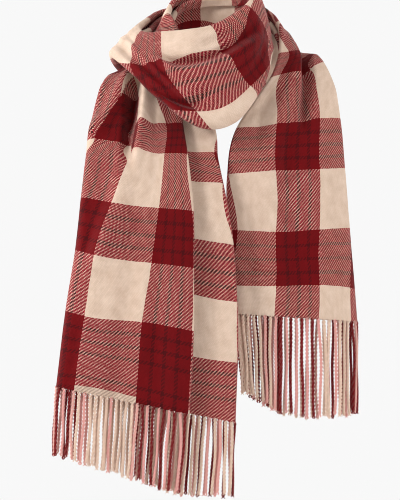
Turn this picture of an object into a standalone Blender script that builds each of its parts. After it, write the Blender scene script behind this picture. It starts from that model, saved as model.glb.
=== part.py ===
"""A tartan blanket scarf, folded lengthwise, wound once round the neck, with both ends hanging in front.

The neck stands on the Z axis and the wearer looks along -Y. The origin is the middle of the base of the
neck. One strip of cloth runs from the hem of the left tail, over the left shoulder, round the nape to the
right side, across the throat as a loose loop, over the left shoulder again, round the nape outside the first
turn, and over the right shoulder to the hem of the right tail. Left and right are as seen from the front.
Tables are in millimetres. The strip is cut into one solid for each stretch that shows, and each end carries
its fringe.
"""

from collections import namedtuple

import bmesh
import bpy
import numpy as np

MM = 0.001

# The cloth's length, from its woven bands: red and cream alternate, and a red band is four squares.
SQUARE = 19.0
RED_BAND = 4 * SQUARE
CREAM_BAND = 84.0
REPEAT = RED_BAND + CREAM_BAND
LEFT_END_BAND = 6 * SQUARE
RIGHT_END_BAND = 42.0
CLOTH_LENGTH = LEFT_END_BAND + 12 * REPEAT + RIGHT_END_BAND
WALL = 2.4

# A row is a section across the strip. "along" is the cloth's distance from the left hem. The outer layer
# runs from "edge", on the neck's side, to "fold", on the outside or at the bottom. "bulge" is how far it
# crowns between them, and "depth" is how far behind it the inner layer lies.
Section = namedtuple("Section", "name along edge_x edge_y edge_z fold_x fold_y fold_z bulge depth")
SECTIONS = [
    Section(*row)
    for row in (
        ("left hem", 0, -35, -139, -534, -227, -112, -495, 4, 22),
        ("left knee", 114, -29, -139, -412, -213, -112, -379, 4, 22),
        ("left waist", 198, -29, -137, -325, -200, -110, -296, 4, 22),
        ("left rib", 274, -29, -134, -245, -192, -106, -221, 4, 20),
        ("left bust", 358, -38, -118, -156, -182, -92, -136, 4, 18),
        ("left chest", 434, -46, -84, -104, -175, -62, -96, 4, 16),
        ("left collar", 518, -56, -48, -38, -162, -28, -50, 0, 12),
        ("left shoulder", 594, -54, -20, 28, -146, 20, -38, -4, 12),
        ("beside neck, left", 640, -66, 8, 54, -130, 56, -40, -2, 11),
        ("first turn, left", 700, -56, 42, 76, -100, 86, -36, 0, 10),
        ("first turn, nape", 790, -2, 68, 88, -6, 110, -24, 4, 10),
        ("first turn, right", 870, 48, 46, 88, 62, 80, -10, 4, 10),
        ("right of neck", 940, 67, -6, 84, 87, 12, 0, 3, 10),
        ("loop, right", 998, 52, -56, 62, 87, -44, -18, 5, 12),
        ("loop, right front", 1074, -4, -92, 29, 69, -102, -67, 14, 18),
        ("loop, front", 1116, -39, -90, 23, 34, -127, -108, 18, 18),
        ("loop, left front", 1158, -74, -70, 21, -13, -130, -119, 18, 18),
        ("loop, left", 1234, -104, -34, 24, -117, -86, -38, 8, 14),
        ("over left shoulder", 1276, -108, 4, 34, -150, -34, -10, 4, 12),
        ("behind left shoulder", 1318, -98, 42, 46, -152, 32, -16, 0, 12),
        ("second turn, left", 1400, -70, 78, 62, -120, 110, -40, 4, 10),
        ("second turn, nape", 1480, 0, 98, 78, -18, 142, -58, 6, 10),
        ("second turn, right", 1560, 60, 86, 72, 84, 124, -50, 4, 10),
        ("behind right shoulder", 1606, 92, 40, 50, 128, 78, -26, 0, 10),
        ("over right shoulder", 1640, 100, -4, 28, 146, 32, -14, 0, 10),
        ("right shoulder", 1714, 88, -56, -40, 166, -8, -24, 2, 12),
        ("right collar", 1756, 62, -72, -78, 180, -28, -58, 6, 14),
        ("right chest", 1798, 36, -84, -119, 187, -46, -104, 14, 16),
        ("right bust", 1874, 22, -92, -193, 194, -52, -180, 20, 18),
        ("right waist", 1958, 26, -94, -277, 201, -52, -267, 20, 20),
        ("right knee", 2034, 31, -94, -352, 208, -52, -349, 18, 20),
        ("right hem", CLOTH_LENGTH, 35, -94, -390, 212, -52, -402, 16, 20),
    )
]

# What lies behind the outer layer. "reach" is how far the inner layer stands out past the edge, and "turn"
# and "tuck" are the widths of the two selvedge strips folded behind. Round the neck, where these are hidden,
# they are cut short.
Hidden = namedtuple("Hidden", "along reach turn tuck")
HIDDEN = [
    Hidden(*row)
    for row in (
        (0, 65, 72, 80),
        (198, 59, 72, 80),
        (358, 44, 56, 60),
        (434, 46, 30, 30),
        (518, 4, 12, 12),
        (790, -6, 10, 10),
        (1074, -6, 10, 10),
        (1158, -6, 10, 10),
        (1234, -6, 10, 10),
        (1480, -6, 10, 10),
        (1714, -6, 12, 12),
        (1874, -4, 50, 50),
        (CLOTH_LENGTH, -4, 60, 60),
    )
]

# The largest folds. A fold runs from one place on the strip to another: "along", and "share" of the way from
# edge to fold. "rise" is its height, or depth if negative, and "half_width" is measured across it.
Fold = namedtuple("Fold", "name along share to_along to_share rise half_width")
FOLDS = [
    Fold(*row)
    for row in (
        ("front corner of left tail", -200, 0.93, 320, 0.72, 11, 60),
        ("crest of left tail", 330, 0.50, 640, 0.30, 15, 24),
        ("crest below it", 140, 0.86, 430, 0.44, 11, 26),
        ("valley beside the crest", 290, 0.60, 600, 0.485, -25, 18),
        ("outer ridge of left tail", 330, 1.04, 580, 0.50, 11, 24),
        ("right edge of main panel", -100, 0.10, 420, 0.14, 6, 30),
        ("throat crease", 1000, 0.37, 1200, 0.345, -15, 15),
        ("lip under the crease", 1000, 0.49, 1220, 0.47, 9, 20),
        ("pocket at the left", 1100, 0.86, 1310, 0.62, -6, 17),
        ("crease above the left roll", 1110, 0.62, 1250, 1.06, -9, 13),
        ("shoulder trough, right", 1620, 0.65, 1830, 0.62, -21, 16),
        ("shoulder ridge, right", 1650, 0.40, 1900, 0.34, 8, 26),
        ("front ridge, right", 1720, 0.80, 2240, 0.74, 8, 34),
        ("soft fall, left tail", -120, 0.58, 330, 0.50, -6, 26),
        ("soft fall, right tail", 1790, 0.50, 2230, 0.47, -7, 24),
        ("outer fall, right tail", 1850, 0.90, 2240, 0.88, 5, 24),
        ("turn trough", 630, 0.34, 920, 0.40, -6, 24),
        ("upper crease of the loop", 1030, 0.20, 1130, 0.25, -6, 14),
        ("hollow above the bottom roll", 1040, 0.82, 1130, 0.78, -5, 18),
        ("nape trough", 1370, 0.38, 1590, 0.52, -9, 24),
        ("nape ridge, high", 1340, 0.20, 1560, 0.28, 5, 26),
        ("nape ridge, low", 1380, 0.74, 1540, 0.70, 8, 28),
        ("short trough at the nape", 1460, 0.86, 1610, 0.72, -6, 20),
    )
]

EDGE_RADIUS = 3.4
SEAM_GAP = 0.8

# The fringe. Each end's last few millimetres of cloth are a strip of their own, which carries the strands.
STRIP_HEIGHT = 5.0
STRIP_GAP = 0.4
STRAND_PITCH = 8.0
STRAND_WIDTH = 4.2
STRAND_DEPTH = 3.4
TIP_SHARE = 0.7
UNEVEN_LENGTH = 3.0
UNEVEN_LEAN = 0.5

# How the strands hang. "x" is a place across the hem, and "lean" is how far the tip hangs to the right of the
# root.
Hang = namedtuple("Hang", "node x lean length")
HANGS = [
    Hang(*row)
    for row in (
        ("left_fringe", -227, -6, 100),
        ("left_fringe", -120, -6, 109),
        ("left_fringe", -40, -9, 119),
        ("left_fringe", 34, -2, 108),
        ("right_fringe", 35, 10, 116),
        ("right_fringe", 93, 0, 140),
        ("right_fringe", 134, 0, 149),
        ("right_fringe", 212, 0, 136),
    )
]

# A row is a solid: its stretch along the strip, and how many spans it has along it and across each layer.
Stretch = namedtuple("Stretch", "node start end spans outer_spans inner_spans")
STRETCHES = [
    Stretch(*row)
    for row in (
        ("left_tail", STRIP_HEIGHT, 594, 18, 14, 12),
        ("first_turn", 594, 960, 12, 7, 4),
        ("throat_loop", 960, 1300, 16, 13, 9),
        ("second_turn", 1300, 1650, 12, 10, 8),
        ("right_tail", 1650, CLOTH_LENGTH - STRIP_HEIGHT, 13, 12, 9),
    )
]


def through(knots, values, at):
    """A smooth curve through values at knots: cubic pieces whose slopes are those between the neighbours."""
    knots, values = np.asarray(knots, float), np.asarray(values, float)
    step = np.diff(knots)
    secant = np.diff(values) / step
    slope = np.empty(len(values))
    slope[1:-1] = (secant[:-1] * step[1:] + secant[1:] * step[:-1]) / (step[:-1] + step[1:])
    slope[0], slope[-1] = secant[0], secant[-1]
    i = np.clip(np.searchsorted(knots, at) - 1, 0, len(step) - 1)
    h, u = step[i], (at - knots[i]) / step[i]
    inside = (
        (1 + 2 * u) * (1 - u) ** 2 * values[i]
        + u * (1 - u) ** 2 * h * slope[i]
        + u * u * (3 - 2 * u) * values[i + 1]
        + u * u * (u - 1) * h * slope[i + 1]
    )
    before = values[0] + slope[0] * (at - knots[0])
    after = values[-1] + slope[-1] * (at - knots[-1])
    return np.where(at < knots[0], before, np.where(at > knots[-1], after, inside))


def column(rows, name, at):
    return through([row.along for row in rows], [getattr(row, name) for row in rows], at)


def point(rows, prefix, at):
    return np.stack([column(rows, f"{prefix}_{axis}", at) for axis in "xyz"], axis=-1)


def unit(vectors):
    return vectors / np.linalg.norm(vectors, axis=-1, keepdims=True)


def ease(u):
    u = np.clip(u, 0, 1)
    return u * u * (3 - 2 * u)


def fold_height(along, share, width):
    """How far the cloth stands out of its plain form: the sum of rounded ridges and troughs."""
    height = np.zeros(np.broadcast(along, share).shape)
    for fold in FOLDS:
        u = (along - fold.along) / (fold.to_along - fold.along)
        middle = fold.share + (fold.to_share - fold.share) * u
        strength = ease(4 * u) * ease(4 * (1 - u))
        off = np.clip(np.abs(share - middle) * width / fold.half_width, 0, 1)
        height += fold.rise * strength * 0.5 * (1 + np.cos(np.pi * off))
    return height


def arc(centre, radius, start, end, spans):
    """Points round an arc in the section's plane, without the first one."""
    angle = np.radians(np.linspace(start, end, spans + 1)[1:])
    return np.stack([centre[0] + radius * np.cos(angle), centre[1] + radius * np.sin(angle)], axis=-1)


def run(start, end, spans):
    """Points along a straight run in the section's plane, without the first one."""
    u = np.linspace(0, 1, spans + 1)[1:, None]
    return np.asarray(start) * (1 - u) + np.asarray(end) * u


def layers(width, depth, turn, reach, tuck, spans):
    """The folded section as (across, out) points, from the turned-under selvedge to the inner one."""
    r, back = EDGE_RADIUS, depth / 2
    inner = (-reach + r, -depth)
    hem = np.array([[r + turn, -2 * r]])
    parts = [
        hem,
        run(hem[0], (r, -2 * r), 2),
        arc((r, -r), r, 270, 90, 4),
        run((r, 0), (width - back, 0), spans[0]),
        arc((width - back, -back), back, 90, -90, 4),
        run((width - back, -depth), inner, spans[1]),
        arc((inner[0], inner[1] - r), r, 90, 270, 4),
        run((inner[0], inner[1] - 2 * r), (inner[0] + tuck, inner[1] - 2 * r), 2),
    ]
    return np.concatenate(parts)


def walls(along, spans):
    """The two faces of the cloth, as grids of points: a row for each place along the strip."""
    edge, fold = point(SECTIONS, "edge", along), point(SECTIONS, "fold", along)
    ahead, behind = along + 1.0, along - 1.0
    middle_step = (
        point(SECTIONS, "edge", ahead) + point(SECTIONS, "fold", ahead)
        - point(SECTIONS, "edge", behind) - point(SECTIONS, "fold", behind)
    )
    width = np.linalg.norm(fold - edge, axis=-1)
    across = unit(fold - edge)
    out = unit(np.cross(unit(middle_step), across))
    depth, bulge = column(SECTIONS, "depth", along), column(SECTIONS, "bulge", along)
    reach, turn, tuck = (column(HIDDEN, name, along) for name in ("reach", "turn", "tuck"))
    outer, inner = [], []
    for i in range(len(along)):
        flat = layers(width[i], depth[i], turn[i], reach[i], tuck[i], spans)
        share = flat[:, 0] / width[i]
        crown = bulge[i] * 4 * np.clip(share, 0, 1) * (1 - np.clip(share, 0, 1))
        flat[:, 1] += crown + fold_height(along[i], share, width[i])
        step = unit(np.gradient(flat, axis=0))
        half_wall = np.stack([-step[:, 1], step[:, 0]], axis=-1) * WALL / 2
        for face, grid in ((flat + half_wall, outer), (flat - half_wall, inner)):
            grid.append(edge[i] + across[i] * face[:, :1] + out[i] * face[:, 1:])
    return np.array(outer), np.array(inner)


def material(name, colour, roughness):
    finish = bpy.data.materials.new(name)
    finish.use_nodes = True
    shader = finish.node_tree.nodes["Principled BSDF"]
    shader.inputs["Base Color"].default_value = (*colour, 1)
    shader.inputs["Roughness"].default_value = roughness
    shader.inputs["Metallic"].default_value = 0
    return finish


def mesh_object(name, points, faces, finish):
    mesh = bpy.data.meshes.new(name)
    mesh.from_pydata([tuple(p) for p in points * MM], [], faces)
    mesh.materials.append(finish)
    shape = bmesh.new()
    shape.from_mesh(mesh)
    bmesh.ops.recalc_face_normals(shape, faces=shape.faces)
    shape.to_mesh(mesh)
    shape.free()
    mesh.shade_smooth()
    made = bpy.data.objects.new(name, mesh)
    bpy.context.scene.collection.objects.link(made)
    return made


def sheet_faces(grid, start, turned):
    """Two triangles for each span of a grid of points, parted along its shorter diagonal."""
    rows, columns = grid.shape[:2]
    faces = []
    for i in range(rows - 1):
        for j in range(columns - 1):
            a = start + i * columns + j
            b, c, d = a + columns, a + columns + 1, a + 1
            falling = np.linalg.norm(grid[i + 1, j + 1] - grid[i, j])
            rising = np.linalg.norm(grid[i + 1, j] - grid[i, j + 1])
            pair = ((a, b, c), (a, c, d)) if falling < rising else ((a, b, d), (b, c, d))
            faces += [face[::-1] if turned else face for face in pair]
    return faces


def cloth(stretch, finish):
    """A stretch of the strip: its two faces, joined round their edges."""
    start = stretch.start + (SEAM_GAP / 2 if stretch.start > STRIP_HEIGHT else 0)
    end = stretch.end - (SEAM_GAP / 2 if stretch.end < CLOTH_LENGTH - STRIP_HEIGHT else 0)
    spans = (stretch.outer_spans, stretch.inner_spans)
    outer, inner = walls(np.linspace(start, end, stretch.spans + 1), spans)
    rows, columns = outer.shape[:2]
    count = rows * columns
    middle = (outer + inner) / 2
    faces = sheet_faces(middle, 0, True) + sheet_faces(middle, count, False)
    rim = [j for j in range(columns - 1)]
    rim += [i * columns + columns - 1 for i in range(rows - 1)]
    rim += [(rows - 1) * columns + j for j in range(columns - 1, 0, -1)]
    rim += [i * columns for i in range(rows - 1, 0, -1)]
    for a, b in zip(rim, rim[1:] + rim[:1]):
        faces.append((b, a, a + count, b + count))
    points = np.concatenate([outer.reshape(-1, 3), inner.reshape(-1, 3)])
    return mesh_object(stretch.node, points, faces, finish)


def at_lengths(line, lengths, wanted):
    return np.stack([np.interp(wanted, lengths, line[:, axis]) for axis in range(3)], axis=-1)


def fringe(node, strip_from, strip_to, finish):
    """A strip of cloth along a hem, with strands drawn down out of its lower side."""
    outer, inner = walls(np.array([strip_from, strip_to]), (60, 60))
    middle = (outer[1] + inner[1]) / 2
    lengths = np.concatenate([[0], np.cumsum(np.linalg.norm(np.diff(middle, axis=0), axis=1))])
    count = int(lengths[-1] // STRAND_PITCH)
    pitch = lengths[-1] / count
    marks = [0.0]
    for k in range(count):
        marks += [(k + 0.5) * pitch - STRAND_WIDTH / 2, (k + 0.5) * pitch + STRAND_WIDTH / 2]
    marks.append(lengths[-1])
    corners = [at_lengths(line, lengths, marks) for line in (outer[0], outer[1], inner[1], inner[0])]
    points = [p for mark in zip(*corners) for p in mark]
    faces = [(0, 1, 2, 3)]
    rows = [hang for hang in HANGS if hang.node == node]
    chance = np.random.default_rng(len(marks))
    for k in range(len(marks) - 1):
        a, b = 4 * k, 4 * k + 4
        for i, j in ((0, 1), (2, 3), (3, 0)):
            faces.append((a + i, b + i, b + j, a + j))
        if k % 2 == 0:
            faces.append((a + 1, b + 1, b + 2, a + 2))
            continue
        ring = [a + 1, b + 1, b + 2, a + 2]
        root = np.mean([points[i] for i in ring], axis=0)
        side = unit((points[b + 1] - points[a + 1]) * (1, 1, 0))
        face = np.array((side[1], -side[0], 0))
        if np.dot(face, points[a + 1] - points[a + 2]) < 0:
            face = -face
        lean = np.interp(root[0], [row.x for row in rows], [row.lean for row in rows])
        length = np.interp(root[0], [row.x for row in rows], [row.length for row in rows])
        lean, sway = lean + chance.uniform(-1, 1) * UNEVEN_LEAN, chance.uniform(-1, 1) * UNEVEN_LEAN
        length += chance.uniform(-1, 1) * UNEVEN_LENGTH
        for share, size in ((0.3, 0.95), (1.0, TIP_SHARE)):
            middle = root + np.array((lean, 0, -length)) * share + face * sway * share
            across, deep = side * STRAND_WIDTH / 2 * size, face * STRAND_DEPTH / 2 * size
            lower = list(range(len(points), len(points) + 4))
            points += [middle - across + deep, middle + across + deep]
            points += [middle + across - deep, middle - across - deep]
            for i in range(4):
                faces.append((ring[i], ring[(i + 1) % 4], lower[(i + 1) % 4], lower[i]))
            ring = lower
        faces.append(tuple(ring))
    last = 4 * (len(marks) - 1)
    faces.append((last + 3, last + 2, last + 1, last))
    return mesh_object(node, np.array(points), faces, finish)


def main():
    for old in list(bpy.data.objects):
        bpy.data.objects.remove(old)
    woven = material("woven_cloth", (0.45, 0.06, 0.08), 0.9)
    twisted = material("twisted_fringe", (0.62, 0.30, 0.28), 0.9)
    for stretch in STRETCHES:
        cloth(stretch, woven)
    fringe("left_fringe", STRIP_HEIGHT - STRIP_GAP, 0, twisted)
    fringe("right_fringe", CLOTH_LENGTH - STRIP_HEIGHT + STRIP_GAP, CLOTH_LENGTH, twisted)


main()
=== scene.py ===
"""The looks of a tartan wool scarf, folded lengthwise and wound once round the neck, with both ends hanging
in front.

Tables and lengths are in millimetres until a mesh is made. "along" is the cloth's distance from the left
hem, and "s" is its distance across from one selvedge. Left and right are as seen from the front, which
faces -Y.
"""

from collections import namedtuple

import bpy
import numpy as np
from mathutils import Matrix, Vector


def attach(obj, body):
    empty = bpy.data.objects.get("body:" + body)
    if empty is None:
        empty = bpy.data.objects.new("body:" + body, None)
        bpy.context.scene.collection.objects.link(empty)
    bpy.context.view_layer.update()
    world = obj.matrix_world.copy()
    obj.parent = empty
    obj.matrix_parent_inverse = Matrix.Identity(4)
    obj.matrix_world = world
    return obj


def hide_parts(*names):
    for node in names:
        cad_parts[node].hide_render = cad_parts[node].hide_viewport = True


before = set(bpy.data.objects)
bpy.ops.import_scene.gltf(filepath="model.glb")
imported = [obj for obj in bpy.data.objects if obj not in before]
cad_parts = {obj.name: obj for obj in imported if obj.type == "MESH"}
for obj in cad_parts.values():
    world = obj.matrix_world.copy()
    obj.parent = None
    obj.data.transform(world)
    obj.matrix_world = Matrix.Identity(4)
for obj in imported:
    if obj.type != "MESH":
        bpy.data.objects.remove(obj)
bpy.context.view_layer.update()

MM = 0.001

# The weave: a two-and-two twill of red, cream and dark threads. MIRROR is twice the middle of a cream band,
# about which s is mirrored where the cloth's other face is out.
THREAD = 1.35
THREAD_SWAY = 0.9
SQUARE = 19.0
RED_BAND = 4 * SQUARE
CREAM_BAND = 84.0
REPEAT = RED_BAND + CREAM_BAND
FIRST_RED_WARP = 77.0
FIRST_RED_WEFT = 38.0
DARK_HALF = 2.6
BAND_EDGE = 5.0
HEM_EDGE = 5.0
LEFT_END_BAND = 6 * SQUARE
RIGHT_END_BAND = 42.0
MIRROR = 2 * (FIRST_RED_WARP + RED_BAND + REPEAT + CREAM_BAND / 2)
CLOTH_LENGTH = LEFT_END_BAND + 12 * REPEAT + RIGHT_END_BAND
WALL = 2.4
CLOTH_WIDTH = 640.0
EDGE_RADIUS = 3.4

# The studio, in metres. A long lens looks along +Y at the middle of the front view, and the lights aim at
# LIT.
PICTURE_HEIGHT = 0.725
PICTURE_MIDDLE = Vector((-0.0188, -0.1, -0.2972))
CAMERA_AWAY = 7.0
SENSOR = 24.0
FLOOR_SIDES = 96
FLOOR_RADIUS = 12
FLOOR_AT = -1.4
LIT = Vector((0, -0.05, -0.25))

# A row is a section across the strip. The outer layer runs from "edge" to "fold", "bulge" is how far it
# crowns between them, and "depth" is how far behind it the inner layer lies.
Section = namedtuple("Section", "name along edge_x edge_y edge_z fold_x fold_y fold_z bulge depth")
SECTIONS = [
    Section(*row)
    for row in (
        ("left hem", 0, -35, -139, -534, -227, -112, -495, 4, 22),
        ("left knee", 114, -29, -139, -412, -213, -112, -379, 4, 22),
        ("left waist", 198, -29, -137, -325, -200, -110, -296, 4, 22),
        ("left rib", 274, -29, -134, -245, -192, -106, -221, 4, 20),
        ("left bust", 358, -38, -118, -156, -182, -92, -136, 4, 18),
        ("left chest", 434, -46, -84, -104, -175, -62, -96, 4, 16),
        ("left collar", 518, -56, -48, -38, -162, -28, -50, 0, 12),
        ("left shoulder", 594, -54, -20, 28, -146, 20, -38, -4, 12),
        ("beside neck, left", 640, -66, 8, 54, -130, 56, -40, -2, 11),
        ("first turn, left", 700, -56, 42, 76, -100, 86, -36, 0, 10),
        ("first turn, nape", 790, -2, 68, 88, -6, 110, -24, 4, 10),
        ("first turn, right", 870, 48, 46, 88, 62, 80, -10, 4, 10),
        ("right of neck", 940, 67, -6, 84, 87, 12, 0, 3, 10),
        ("loop, right", 998, 52, -56, 62, 87, -44, -18, 5, 12),
        ("loop, right front", 1074, -4, -92, 29, 69, -102, -67, 14, 18),
        ("loop, front", 1116, -39, -90, 23, 34, -127, -108, 18, 18),
        ("loop, left front", 1158, -74, -70, 21, -13, -130, -119, 18, 18),
        ("loop, left", 1234, -104, -34, 24, -117, -86, -38, 8, 14),
        ("over left shoulder", 1276, -108, 4, 34, -150, -34, -10, 4, 12),
        ("behind left shoulder", 1318, -98, 42, 46, -152, 32, -16, 0, 12),
        ("second turn, left", 1400, -70, 78, 62, -120, 110, -40, 4, 10),
        ("second turn, nape", 1480, 0, 98, 78, -18, 142, -58, 6, 10),
        ("second turn, right", 1560, 60, 86, 72, 84, 124, -50, 4, 10),
        ("behind right shoulder", 1606, 92, 40, 50, 128, 78, -26, 0, 10),
        ("over right shoulder", 1640, 100, -4, 28, 146, 32, -14, 0, 10),
        ("right shoulder", 1714, 88, -56, -40, 166, -8, -24, 2, 12),
        ("right collar", 1756, 62, -72, -78, 180, -28, -58, 6, 14),
        ("right chest", 1798, 36, -84, -119, 187, -46, -104, 14, 16),
        ("right bust", 1874, 22, -92, -193, 194, -52, -180, 20, 18),
        ("right waist", 1958, 26, -94, -277, 201, -52, -267, 20, 20),
        ("right knee", 2034, 31, -94, -352, 208, -52, -349, 18, 20),
        ("right hem", CLOTH_LENGTH, 35, -94, -390, 212, -52, -402, 16, 20),
    )
]

# "reach" is how far the inner layer stands out past the edge, and "turn" and "tuck" are the widths of the
# two selvedge strips folded behind.
Hidden = namedtuple("Hidden", "along reach turn tuck")
HIDDEN = [
    Hidden(*row)
    for row in (
        (0, 65, 72, 80),
        (198, 59, 72, 80),
        (358, 44, 56, 60),
        (434, 46, 30, 30),
        (518, 4, 12, 12),
        (790, -6, 10, 10),
        (1074, -6, 10, 10),
        (1158, -6, 10, 10),
        (1234, -6, 10, 10),
        (1480, -6, 10, 10),
        (1714, -6, 12, 12),
        (1874, -4, 50, 50),
        (CLOTH_LENGTH, -4, 60, 60),
    )
]

# The large folds. "share" is part of the way from edge to fold, "rise" the height, or depth if negative.
Fold = namedtuple("Fold", "name along share to_along to_share rise half_width")
FOLDS = [
    Fold(*row)
    for row in (
        ("front corner of left tail", -200, 0.93, 320, 0.72, 11, 60),
        ("crest of left tail", 330, 0.50, 640, 0.30, 15, 24),
        ("crest below it", 140, 0.86, 430, 0.44, 11, 26),
        ("valley beside the crest", 290, 0.60, 600, 0.485, -25, 18),
        ("outer ridge of left tail", 330, 1.04, 580, 0.50, 11, 24),
        ("right edge of main panel", -100, 0.10, 420, 0.14, 6, 30),
        ("throat crease", 1000, 0.37, 1200, 0.345, -15, 15),
        ("lip under the crease", 1000, 0.49, 1220, 0.47, 9, 20),
        ("pocket at the left", 1100, 0.86, 1310, 0.62, -6, 17),
        ("crease above the left roll", 1110, 0.62, 1250, 1.06, -9, 13),
        ("shoulder trough, right", 1620, 0.65, 1830, 0.62, -21, 16),
        ("shoulder ridge, right", 1650, 0.40, 1900, 0.34, 8, 26),
        ("front ridge, right", 1720, 0.80, 2240, 0.74, 8, 34),
        ("soft fall, left tail", -120, 0.58, 330, 0.50, -6, 26),
        ("soft fall, right tail", 1790, 0.50, 2230, 0.47, -7, 24),
        ("outer fall, right tail", 1850, 0.90, 2240, 0.88, 5, 24),
        ("turn trough", 630, 0.34, 920, 0.40, -6, 24),
        ("upper crease of the loop", 1030, 0.20, 1130, 0.25, -6, 14),
        ("hollow above the bottom roll", 1040, 0.82, 1130, 0.78, -5, 18),
        ("nape trough", 1370, 0.38, 1590, 0.52, -9, 24),
        ("nape ridge, high", 1340, 0.20, 1560, 0.28, 5, 26),
        ("nape ridge, low", 1380, 0.74, 1540, 0.70, 8, 28),
        ("short trough at the nape", 1460, 0.86, 1610, 0.72, -6, 20),
    )
]

# The soft creases that lie on one layer only. "layer" is 0 for the outer one and 1 for the inner one, which
# shows from behind.
Crease = namedtuple("Crease", "layer along share to_along to_share rise half_width")
CREASES = [
    Crease(*row)
    for row in (
        (0, 20, 0.26, 210, 0.33, -1.6, 15),
        (0, -30, 0.44, 150, 0.40, 1.5, 17),
        (0, 150, 0.16, 300, 0.30, 1.2, 13),
        (0, 255, 0.42, 400, 0.22, -2.2, 14),
        (0, 300, 0.58, 450, 0.36, 1.8, 10),
        (0, 60, 0.74, 240, 0.66, -1.5, 16),
        (0, -20, 0.90, 120, 0.86, -1.8, 13),
        (0, 160, 0.93, 330, 0.97, 1.6, 12),
        (0, 370, 0.30, 520, 0.14, 2.0, 12),
        (0, 390, 0.16, 500, 0.10, -1.6, 9),
        (0, 400, 0.90, 520, 0.78, -2.0, 12),
        (0, 1010, 0.68, 1120, 0.78, -2.0, 11),
        (0, 1060, 0.52, 1190, 0.66, 1.8, 12),
        (0, 1020, 0.10, 1170, 0.14, 1.6, 10),
        (0, 1120, 0.30, 1240, 0.16, -2.2, 9),
        (0, 1150, 0.76, 1260, 0.50, 2.4, 11),
        (0, 1190, 0.34, 1320, 0.44, -2.4, 12),
        (0, 1250, 0.62, 1400, 0.30, 2.2, 13),
        (0, 1300, 0.80, 1450, 0.60, -2.6, 15),
        (0, 1330, 0.12, 1450, 0.20, -1.8, 10),
        (0, 1440, 0.60, 1570, 0.86, 2.0, 14),
        (0, 1500, 0.14, 1640, 0.36, -2.2, 12),
        (0, 1560, 0.40, 1700, 0.20, 1.8, 12),
        (0, 1590, 0.70, 1720, 0.80, -2.2, 12),
        (0, 1700, 0.62, 1830, 0.60, 2.4, 10),
        (0, 1730, 0.12, 1850, 0.22, -2.0, 12),
        (0, 1760, 0.84, 1920, 0.80, -2.0, 13),
        (0, 1840, 0.34, 2000, 0.30, 1.6, 15),
        (0, 1900, 0.16, 2100, 0.12, -1.6, 13),
        (0, 1960, 0.62, 2110, 0.58, -1.6, 14),
        (0, 1990, 0.82, 2120, 0.86, 1.5, 12),
        (0, 640, 0.62, 760, 0.50, 2.0, 14),
        (0, 720, 0.74, 880, 0.80, -2.2, 13),
        (0, 820, 0.22, 960, 0.16, -1.8, 11),
        (1, 0, 0.20, 170, 0.26, 1.8, 16),
        (1, -30, 0.52, 210, 0.44, -2.6, 20),
        (1, 90, 0.72, 300, 0.60, 2.2, 17),
        (1, 140, 0.12, 330, 0.22, -2.0, 14),
        (1, 230, 0.44, 420, 0.30, 2.4, 16),
        (1, 260, 0.84, 430, 0.66, -2.6, 15),
        (1, 20, 0.90, 150, 0.86, -1.6, 13),
        (1, -20, -0.16, 300, -0.14, -1.5, 14),
        (1, 350, 0.14, 480, 0.30, -1.8, 13),
        (1, 1760, 0.30, 1950, 0.24, -2.4, 15),
        (1, 1790, 0.62, 2030, 0.70, 2.4, 18),
        (1, 1850, 0.46, 2100, 0.40, -2.6, 17),
        (1, 1930, 0.14, 2110, 0.20, 1.8, 13),
        (1, 1960, 0.86, 2110, 0.80, -1.8, 14),
        (1, 1690, 0.74, 1840, 0.60, 2.0, 14),
    )
]

# Where the stripes lie. "edge_at" is s at the edge, from which s grows by the distance across the folded
# strip.
Start = namedtuple("Start", "along edge_at")
STARTS = [
    Start(*row)
    for row in (
        (0, 74),
        (358, 76),
        (434, 88),
        (518, 96),
        (594, 76),
        (640, 56),
        (700, 56),
        (790, 96),
        (870, 160),
        (940, 222),
        (998, 224),
        (1045, 208),
        (1074, 200),
        (1158, 190),
        (1234, 168),
        (1318, 165),
        (1480, 160),
        (1606, 196),
        (1640, 212),
        (1714, 226),
        (1756, 204),
        (1798, 158),
        (1874, 158),
        (CLOTH_LENGTH, 164),
    )
]

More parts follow.
